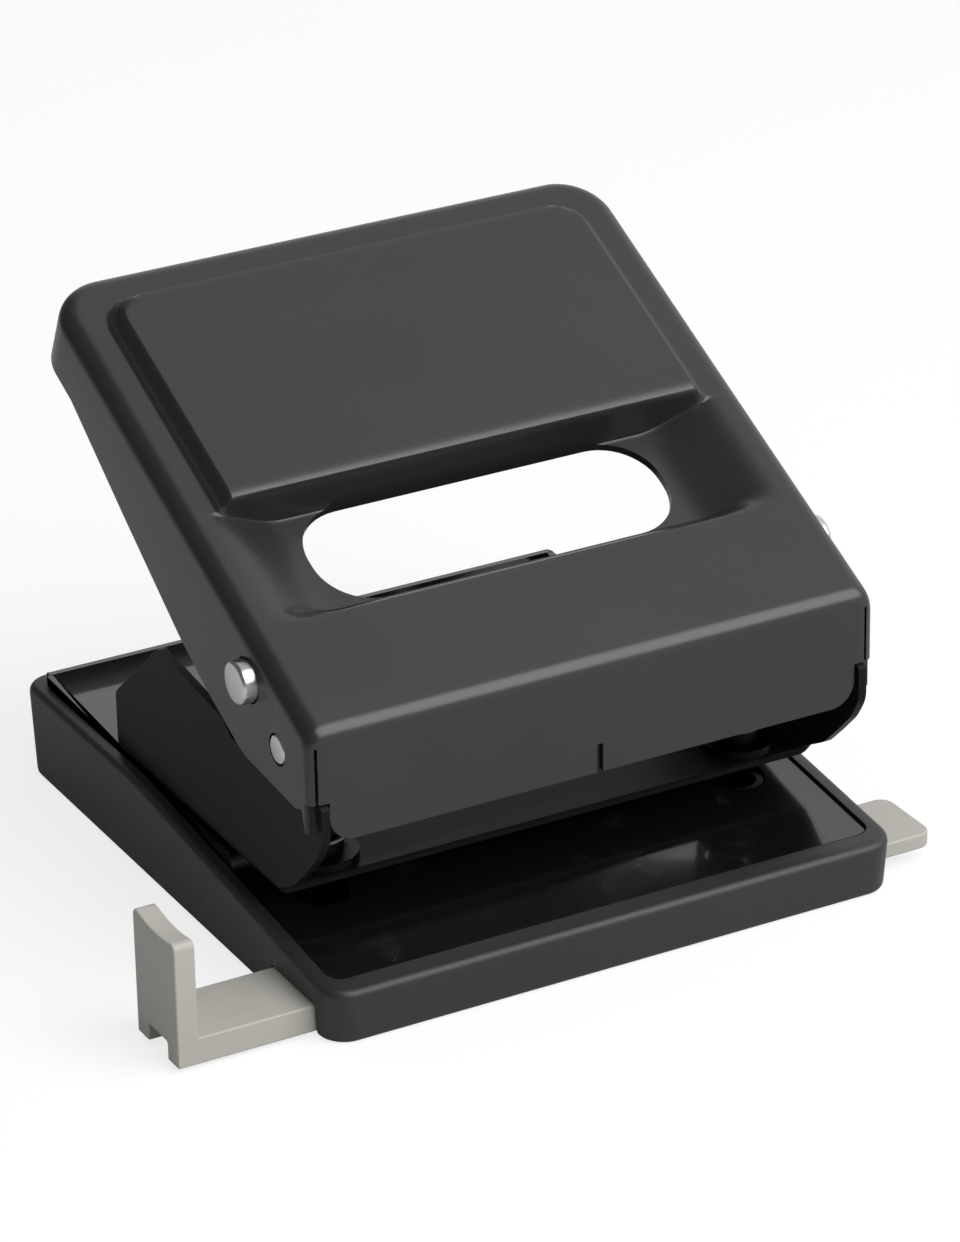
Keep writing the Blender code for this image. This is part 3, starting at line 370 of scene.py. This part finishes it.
# Punch frame folded from one 1.5 mm sheet and stoved near-black: its web is
# riveted to the platform and its two cheeks carry the lever's shaft.
CHEEK_OUTSIDE = 51.1 * MM
WEB_UNDERSIDE = 16.8 * MM
SHAFT_Y = -41.1 * MM
SHAFT_Z = 46.4 * MM
CHEEK_CORNERS = (
    (24.7, 10.0), (24.7, 28.5), (6.8, 44.1), (-17.1, 41.5), (-20.8, 39.0), (-34.0, 39.0), (-36.9, 43.0),
    (-37.2, 49.4), (-41.1, 51.4), (-45.0, 49.6), (-46.3, 44.5), (-46.6, 40.3), (-52.7, 40.3), (-52.7, 34.5),
    (-52.0, 32.8), (-50.0, 29.7), (-46.0, 25.6), (-41.8, 21.6), (-38.0, 19.5), (-35.6, 18.3), (-35.6, 10.0),
)


def frame_enamel():
    material, place, apply = finish_coat("frame_enamel", specular=0.05)
    mottle = place.noise(90.0, 4.0)
    peel = place.noise(700.0, 2.0)
    fleck = place.noise(1100.0, 1.0).between(0.72, 0.76)
    colour = (fleck * 0.5 + mottle * 0.3).blend(grey(0.010, 0.010, 0.011), grey(0.03, 0.03, 0.031))
    apply(colour, 0.26 + 0.12 * mottle, peel, 0.000015)
    return material


bm = bmesh.new()
tip = 56.0 * MM
corner_points = ((-CHEEK_OUTSIDE, tip), (-CHEEK_OUTSIDE, WEB_UNDERSIDE),
                 (CHEEK_OUTSIDE, WEB_UNDERSIDE), (CHEEK_OUTSIDE, tip))
line = [bm.verts.new((x, -56 * MM, z)) for x, z in corner_points]
spine = [bm.edges.new(pair) for pair in zip(line, line[1:])]
grown = bmesh.ops.extrude_edge_only(bm, edges=spine)
bmesh.ops.translate(bm, verts=fresh_verts(grown), vec=(0, 84 * MM, 0))
folds = [edge for edge in bm.edges if len(edge.link_faces) == 2]
round_edges(bm, folds, 2.4 * MM, 6)
bmesh.ops.recalc_face_normals(bm, faces=bm.faces)
if [face for face in bm.faces if abs(face.normal.z) > 0.9][0].normal.z > 0:
    bmesh.ops.reverse_faces(bm, faces=bm.faces)
bmesh.ops.solidify(bm, geom=bm.faces[:], thickness=1.5 * MM)
side_view = prism(CHEEK_CORNERS, -60, 60)
rounded = [edge for edge in side_view.edges if abs(edge.verts[0].co.x - edge.verts[1].co.x) > 50 * MM
           and edge.verts[0].co.z > 15 * MM]
round_edges(side_view, rounded, 1.6 * MM, 4, clamp=True)
sheet = carved(bm, side_view, "INTERSECT")
holes = bmesh.new()
for side in (-1, 1):
    cylinder(holes, 4.7 * MM, 8 * MM, Matrix.Translation((side * HOLE_OFFSET, HOLE_LINE, 18 * MM)), 40)
across = Matrix.Rotation(math.pi / 2, 4, "Y")
cylinder(holes, 2.7 * MM, 130 * MM, Matrix.Translation((0, SHAFT_Y, SHAFT_Z)) @ across, 40)
sheet = carved(sheet, holes)
FRAME_ENAMEL = frame_enamel()
frame_piece = piece("folded_frame", sheet, FRAME_ENAMEL, "frame", "punch_frame", bevel=0.2 * MM)


# Lever: one sheet drawn and folded into a shallow lid, painted satin black.
# The palm pad stands above the panel, and the finger opening is sunk in it.
LEVER_HALF_WIDTH = 52.9 * MM
LEVER_LENGTH = 103.78 * MM
REAR_CORNER = 9.5 * MM
LEVER_TURN = math.radians(25.2)
LEVER_FOLD = Vector((0, -51.9 * MM, 53.3 * MM))
FOLD_RADIUS = 3.0 * MM
ROD_Y = -31.2 * MM
ROD_Z = 54.6 * MM
UP_SLOPE = Vector((0, math.cos(LEVER_TURN), math.sin(LEVER_TURN)))
OFF_PANEL = Vector((0, -math.sin(LEVER_TURN), math.cos(LEVER_TURN)))
WALL_LOW = ((104.2, -12.0), (88.0, -12.0), (64.6, -16.5), (41.2, -20.6), (29.2, -21.7), (15.6, -21.8),
            (-1.8, -15.5), (-3.6, -13.8))
WALL_CROWN = (104.2, 88.0, 64.6, 41.2, 29.2, 15.6, 3.0, 0.0)


def ease(value):
    value = min(max(value, 0.0), 1.0)
    return value * value * (3 - 2 * value)


def outside(x, v, half, front, rear, corner_front, corner_rear):
    """Distance outside a rounded rectangle on the panel, below zero inside"""
    corner = corner_rear if v > (front + rear) / 2 else corner_front
    dx = abs(x) - (half - corner)
    dv = abs(v - (front + rear) / 2) - ((rear - front) / 2 - corner)
    return math.hypot(max(dx, 0), max(dv, 0)) + min(max(dx, dv), 0) - corner


def rounded_step(value, radius, height):
    """A step up of that height with a round foot and crown, from 0 at value 0"""
    return height * ease(value / radius)


def lever_rise(x, v):
    """Height of the drawn shapes above the flat panel"""
    pad = -outside(x, v, 46.4 * MM, 40 * MM, 97.4 * MM, 1 * MM, 7.4 * MM)
    ridge = -outside(x, v, 45.6 * MM, 40 * MM, 96.6 * MM, 1 * MM, 6.6 * MM)
    raised = rounded_step(pad, 0.8 * MM, 0.6 * MM) + rounded_step(ridge, 1.9 * MM, 2.3 * MM)
    crest = rounded_step(v - 47.3 * MM, 1.0 * MM, 1.0)
    roll = 1 - math.sqrt(max(0.0, 1 - min(max((51.0 * MM - v) / (3.0 * MM), 0), 1) ** 2))
    front = ease((v - 22.0 * MM) / (5.2 * MM))
    ends = ease((48.6 * MM - abs(x)) / (15.2 * MM))
    sunk = 5.1 * MM * front * ends * (1 - crest)
    return raised * crest * (1 - 0.25 * roll) - sunk


def lever_half(v):
    rear = max(0.0, v - (LEVER_LENGTH - REAR_CORNER))
    return LEVER_HALF_WIDTH - REAR_CORNER + math.sqrt(max(0.0, REAR_CORNER ** 2 - rear ** 2))


def spread(*runs):
    """Places from runs of (start, end, count), in millimetres"""
    places = []
    for start, end, count in runs:
        places += [start + (end - start) * i / count for i in range(count)]
    return places + [runs[-1][1]]


def fold_edge(count, radius):
    """Distances from a fold, closer together towards its outside"""
    return [radius * (1 - math.sin(math.pi / 2 * i / count)) for i in range(1, count + 1)]


side_places = spread((0, 24, 8), (24, 36, 10), (36, 43, 7), (43, 47, 22), (47, 49.9, 5))
columns = [x * MM for x in side_places] + [LEVER_HALF_WIDTH - d for d in fold_edge(7, FOLD_RADIUS)]
columns = [-x for x in reversed(columns[1:])] + columns
tangent = FOLD_RADIUS * math.tan((math.pi / 2 - LEVER_TURN) / 2)
rows = []
for step in range(7):
    angle = (math.pi / 2 - LEVER_TURN) * (1 - step / 6)
    rows.append((tangent - FOLD_RADIUS * math.sin(angle), -FOLD_RADIUS * (1 - math.cos(angle))))
rows += [(v * MM, 0) for v in spread((3, 21, 9), (21, 28, 14), (28, 45, 12), (45, 47.2, 4), (47.2, 51.5, 26),
                                     (51.5, 88, 12), (88, 95, 10), (95, 99.2, 22), (99.2, 101, 3))]
rows += [(LEVER_LENGTH - d, 0) for d in fold_edge(8, FOLD_RADIUS)]

def wall_foot(v, row, place):
    """Where the wall below one point of the folded edge ends"""
    if row == 0:
        return Vector((place.x, place.y, 33.3 * MM))
    along, depth = WALL_LOW[-1]
    pairs = list(zip(WALL_CROWN, WALL_LOW))
    for (high, start), (low, end) in zip(pairs, pairs[1:]):
        if low <= v / MM <= high:
            share = (v / MM - low) / (high - low)
            along = end[0] + (start[0] - end[0]) * share
            depth = end[1] + (start[1] - end[1]) * share
            break
    return LEVER_FOLD + Vector((place.x, 0, 0)) + UP_SLOPE * along * MM + OFF_PANEL * depth * MM


bm = bmesh.new()
bmesh.ops.create_grid(bm, x_segments=len(columns) - 1, y_segments=len(rows) - 1, size=1.0)
foot = bm.verts.layers.float_vector.new("foot")
for vert in bm.verts:
    i = round((vert.co.x + 1) / 2 * (len(columns) - 1))
    j = round((vert.co.y + 1) / 2 * (len(rows) - 1))
    v, h = rows[j]
    half = lever_half(v)
    x = columns[i] / LEVER_HALF_WIDTH * half
    edge = -outside(x, max(v, LEVER_LENGTH / 2), LEVER_HALF_WIDTH, -1, LEVER_LENGTH, 0, REAR_CORNER)
    near = min(max(FOLD_RADIUS - edge, 0), FOLD_RADIUS)
    drop = FOLD_RADIUS - math.sqrt(max(FOLD_RADIUS ** 2 - near ** 2, 0))
    vert.co = LEVER_FOLD + Vector((x, 0, 0)) + UP_SLOPE * v + OFF_PANEL * (h + lever_rise(x, v) - drop)
    vert[foot] = wall_foot(v, j, vert.co)
border = [edge for edge in bm.edges if edge.is_boundary]
grown = bmesh.ops.extrude_edge_only(bm, edges=border)
for vert in fresh_verts(grown):
    vert.co = vert[foot]
bmesh.ops.recalc_face_normals(bm, faces=bm.faces)
if sum(face.normal.z for face in bm.faces) < 0:
    bmesh.ops.reverse_faces(bm, faces=bm.faces)
bmesh.ops.solidify(bm, geom=bm.faces[:], thickness=1.4 * MM)

cuts = block(bmesh.new(), (-33.4 * MM, 26.9 * MM, -12 * MM), (33.4 * MM, 47.6 * MM, -2 * MM), 9.6 * MM, 12)
for vert in cuts.verts:
    vert.co = LEVER_FOLD + Vector((vert.co.x, 0, 0)) + UP_SLOPE * vert.co.y + OFF_PANEL * vert.co.z
for radius, y, z in ((2.8 * MM, SHAFT_Y, SHAFT_Z), (4.0 * MM, ROD_Y, ROD_Z)):
    cylinder(cuts, radius, 130 * MM, Matrix.Translation((0, y, z)) @ across)
lever = carved(bm, cuts, merge_flats=False)
trims = [([(-0.3, 30), (0.9, 30), (0.9, 38.4), (-0.3, 38.4)], -50.0)]
turn = [math.radians(7.5 * step) for step in range(13)]
tab_corner = [(44.7 + 4.5 * math.cos(angle), 37.8 - 4.5 * math.sin(angle)) for angle in turn]
for side in (-1, 1):
    step = [(56, 40.6), (49.2, 40.6), *tab_corner, (44.7, 30), (56, 30)]
    slit = [(51.1, 30), (51.6, 30), (51.6, 50.6), (51.1, 50.6)]
    trims += [([(side * x, z) for x, z in outline], rear) for outline, rear in ((step, -50.2), (slit, -50.0))]
for outline, rear in trims:
    lever = carved(lever, prism(outline, -56, rear, "Y"), merge_flats=False)


def lever_paint():
    material, place, apply = finish_coat("lever_paint", coat=0.12, coat_roughness=0.2, specular=0.5)
    peel = place.noise(650.0, 2.0)
    cloud = place.noise(30.0, 4.0)
    scuff = place.stretched(90.0, 900.0, 900.0).noise(1.0, 4.0, 0.65).between(0.66, 0.8)
    fleck = place.noise(1500.0, 1.0).between(0.76, 0.8)
    shade = cloud * 0.5 + scuff * 0.25 + fleck * 0.4
    colour = shade.blend(grey(0.018, 0.0185, 0.0195), grey(0.034, 0.035, 0.037))
    apply(colour, 0.27 + 0.07 * cloud + 0.06 * scuff, peel, 0.00002)
    return material


LEVER_PAINT = lever_paint()
lever_piece = piece("folded_lever", lever, LEVER_PAINT, "lever", "handle", smooth=30, bevel=0.22 * MM)


# Drive rod and lever shaft: turned steel in bright zinc, with chamfered ends
# that show at the lever's walls.
def bright_zinc(name, tone):
    material, place, apply = finish_coat(name, metallic=1.0)
    rings = place.stretched(120.0, 3500.0, 3500.0).noise(1.0, 2.0)
    cloud = place.noise(350.0, 3.0)
    colour = cloud.blend(grey(tone * 0.82, tone * 0.82, tone * 0.8), grey(tone, tone, tone * 0.98))
    apply(colour, 0.20 + 0.16 * cloud, rings, 0.000008)
    return material


def pin(name, radius, reach, chamfer, y, z, material, body, node):
    bm = bmesh.new()
    cylinder(bm, radius, 2 * reach, Matrix.Translation((0, y, z)) @ across, 64)
    rims = [edge for edge in bm.edges if abs(abs(edge.verts[0].co.x) - abs(edge.verts[1].co.x)) < 0.01 * MM
            and edge.verts[0].co.x * edge.verts[1].co.x > 0]
    round_edges(bm, rims, chamfer, 3)
    made = piece(name, bm, material, body, node)
    return made


ZINC = bright_zinc("bright_zinc", 0.72)
pin("cross_rod", 3.7 * MM, 55.4 * MM, 0.6 * MM, ROD_Y, ROD_Z, ZINC, "lever", "drive_rod")
pin("lever_shaft", 2.5 * MM, 53.0 * MM, 0.4 * MM, SHAFT_Y, SHAFT_Z, ZINC, "frame", "pivot_shaft")


# Paper guide: a moulded strip in pale satin plastic, with two lips under its
# left half and an upright end whose top is dipped for a fingertip.
def guide_plastic():
    material, place, apply = finish_coat("guide_plastic", specular=0.45)
    grain = place.noise(1800.0, 2.0)
    cloud = place.noise(45.0, 3.0)
    grime = place.stretched(30.0, 260.0, 260.0).noise(1.0, 4.0).between(0.62, 0.85)
    colour = (cloud * 0.5 + grime * 0.5).blend(grey(0.56, 0.546, 0.50), grey(0.47, 0.455, 0.405))
    apply(colour, 0.42 + 0.12 * grain, grain, 0.00002)
    return material


bm = block(bmesh.new(), (-78.2 * MM, -53 * MM, 2.8 * MM), (64.8 * MM, -38 * MM, 5.6 * MM), 0)
far_end = [edge for edge in bm.edges if abs(edge.verts[0].co.z - edge.verts[1].co.z) > 1 * MM
           and edge.verts[0].co.x > 0]
round_edges(bm, far_end, 2.5 * MM, 6)
stop = block(bmesh.new(), (-78.2 * MM, -53 * MM, 0.8 * MM), (-74.4 * MM, -38 * MM, 23.8 * MM), 0)
sliced(stop, [y * MM for y in (-51.4, -49.5, -47.5, -45.5, -43.5, -41.5, -39.6)])
for vert in stop.verts:
    if vert.co.z > 10 * MM:
        share = (vert.co.y + 53 * MM) / (15 * MM)
        vert.co.z = (23.4 + 0.4 * share - 0.95 * math.sin(math.pi * share)) * MM
shoulders = [edge for edge in stop.edges if abs(edge.verts[0].co.x - edge.verts[1].co.x) > 3 * MM
             and edge.verts[0].co.z > 20 * MM
             and abs(abs(edge.verts[0].co.y + 45.5 * MM) - 7.5 * MM) < 0.1 * MM]
round_edges(stop, shoulders, 1.5 * MM, 4)
guide = carved(bm, stop, "UNION")
for front in (-53.0, -42.0):
    foot = block(bmesh.new(), (-78.2 * MM, front * MM, 0.8 * MM), (-33 * MM, (front + 4) * MM, 4.0 * MM), 0)
    guide = carved(guide, foot, "UNION")
notch = block(bmesh.new(), (-79 * MM, -49 * MM, 0), (-74.4 * MM, -42 * MM, 4.0 * MM), 0)
guide = carved(guide, notch)
guide_piece = piece("guide_strip", guide, guide_plastic(), "guide", "paper_guide",
                    bevel=0.35 * MM, segments=3)


# Punches, caps, bushes, dies, clips and rivets keep the frame's own turned
# solids, in ground, drawn or blackened steel.
def ground_steel(name, tone, roughness):
    material, place, apply = finish_coat(name, metallic=1.0)
    lines = place.stretched(600.0, 600.0, 5000.0).noise(1.0, 2.0)
    cloud = place.noise(500.0, 3.0)
    colour = cloud.blend(grey(tone * 0.8), grey(tone, tone, tone * 1.01))
    apply(colour, roughness + 0.12 * cloud, lines, 0.000006)
    return material


GROUND = ground_steel("ground_steel", 0.45, 0.2)
CLIP_STEEL = ground_steel("clip_steel", 0.16, 0.32)
BLACK_STEEL = ground_steel("black_steel", 0.015, 0.35)
FINISHES = {
    "die": BLACK_STEEL, "guide_bush": BLACK_STEEL, "punch": GROUND, "punch_cap": BLACK_STEEL,
    "shaft_clip": CLIP_STEEL, "rod_clip": CLIP_STEEL, "frame_rivet": BLACK_STEEL,
}
for name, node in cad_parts.items():
    finish = FINISHES.get(name.rsplit("_", 1)[0])
    if finish is not None:
        node.data.materials.clear()
        node.data.materials.append(finish)
        node.data.shade_smooth()
        node.data.set_sharp_from_angle(angle=math.radians(35))


# Return springs: round drawn wire in even curls between bush and cap.
for word, side in (("left", -1), ("right", 1)):
    bm = bmesh.new()
    start = Matrix.Translation((side * HOLE_OFFSET + 4.8 * MM, HOLE_LINE, 20.8 * MM))
    start = start @ Matrix.Rotation(math.pi / 2, 4, "X")
    ring = bmesh.ops.create_circle(bm, cap_ends=False, segments=12, radius=0.5 * MM, matrix=start)
    turns = 8
    steps = turns * 28
    rise = 25.4 * MM
    bmesh.ops.spin(bm, geom=ring["verts"] + bm.edges[:], cent=(side * HOLE_OFFSET, HOLE_LINE, 0),
                   axis=(0, 0, 1), dvec=(0, 0, rise / steps), angle=math.tau * turns,
                   steps=steps, use_merge=False)
    open_edges = [edge for edge in bm.edges if edge.is_boundary]
    bmesh.ops.edgeloop_fill(bm, edges=open_edges)
    bmesh.ops.recalc_face_normals(bm, faces=bm.faces)
    spring = piece(f"wire_spring_{word}", bm, CLIP_STEEL, "frame", f"return_spring_{word}", smooth=60)
    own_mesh(spring)


# Pale floor and sky, one soft lamp and the camera fitted to the photograph.
# The camera sees both as white paper; the object gets a greyer floor and sky.
def pale_paper(name, shown, diffuse, mirrored, glow):
    material = bpy.data.materials.new(name)
    material.use_nodes = True
    tree = material.node_tree
    shader = tree.nodes["Principled BSDF"]
    shader.inputs["Roughness"].default_value = 0.9
    shader.inputs["Specular IOR Level"].default_value = 0.1
    shader.inputs["Emission Strength"].default_value = 1.0
    ray = tree.nodes.new("ShaderNodeLightPath")
    to_camera = Paint(tree, ray.outputs["Is Camera Ray"])
    to_object = Paint(tree, ray.outputs["Is Glossy Ray"]).blend(grey(diffuse), grey(mirrored))
    tree.links.new(to_camera.blend(to_object, grey(shown)).socket, shader.inputs["Base Color"])
    tree.links.new(to_camera.blend(grey(0.0), grey(glow)).socket, shader.inputs["Emission Color"])
    return material


floor_mesh = bpy.data.meshes.new("floor")
bm = bmesh.new()
bmesh.ops.create_grid(bm, x_segments=1, y_segments=1, size=6.0)
bm.to_mesh(floor_mesh)
bm.free()
floor = bpy.data.objects.new("floor", floor_mesh)
bpy.context.scene.collection.objects.link(floor)
floor_mesh.materials.append(pale_paper("floor_paper", 0.28, 0.45, 0.78, 0.77))

world = bpy.data.worlds.new("studio")
bpy.context.scene.world = world
world.use_nodes = True
tree = world.node_tree
sky = tree.nodes["Background"]
sky.inputs["Strength"].default_value = 1.0
path = tree.nodes.new("ShaderNodeLightPath")
split = tree.nodes.new("ShaderNodeSeparateXYZ")
tree.links.new(tree.nodes.new("ShaderNodeTexCoord").outputs["Generated"], split.inputs[0])
from_right = Paint(tree, split.outputs["X"]).between(-0.05, 0.4).blend(grey(0.12), grey(0.85))
to_gloss = Paint(tree, path.outputs["Is Glossy Ray"]).blend(grey(0.3), from_right)
to_all = Paint(tree, path.outputs["Is Camera Ray"]).blend(to_gloss, grey(1.0))
tree.links.new(to_all.socket, sky.inputs["Color"])


def soft_lamp(name, place, target, width, height, power):
    light = bpy.data.lights.new(name, "AREA")
    light.shape = "RECTANGLE"
    light.size = width
    light.size_y = height
    light.energy = power
    lamp = bpy.data.objects.new(name, light)
    lamp.location = place
    lamp.rotation_euler = (Vector(target) - Vector(place)).to_track_quat("-Z", "Y").to_euler()
    bpy.context.scene.collection.objects.link(lamp)
    return lamp


soft_lamp("key_lamp", (0.42, -0.75, 0.90), (0, 0, 0.04), 1.2, 1.2, 15.0)

azimuth = math.radians(-28.314)
height = math.radians(25.501)
roll = math.radians(-1.104)
back = Vector((math.sin(azimuth) * math.cos(height), -math.cos(azimuth) * math.cos(height), math.sin(height)))
level = Vector((math.cos(azimuth), math.sin(azimuth), 0))
upright = back.cross(level)
right = level * math.cos(roll) + upright * math.sin(roll)
upright = upright * math.cos(roll) - level * math.sin(roll)
place = back * 0.9572 + right * 0.00505 + upright * 0.03554
lens = bpy.data.cameras.new("photo_camera")
lens.sensor_width = 36.0
lens.lens = 5523.3 * 36.0 / 1242.0
lens.clip_start = 0.05
camera = bpy.data.objects.new("photo_camera", lens)
matrix = Matrix((right, upright, back)).transposed().to_4x4()
matrix.translation = place
camera.matrix_world = matrix
bpy.context.scene.collection.objects.link(camera)
bpy.context.scene.camera = camera
bpy.context.scene.view_settings.view_transform = "Standard"
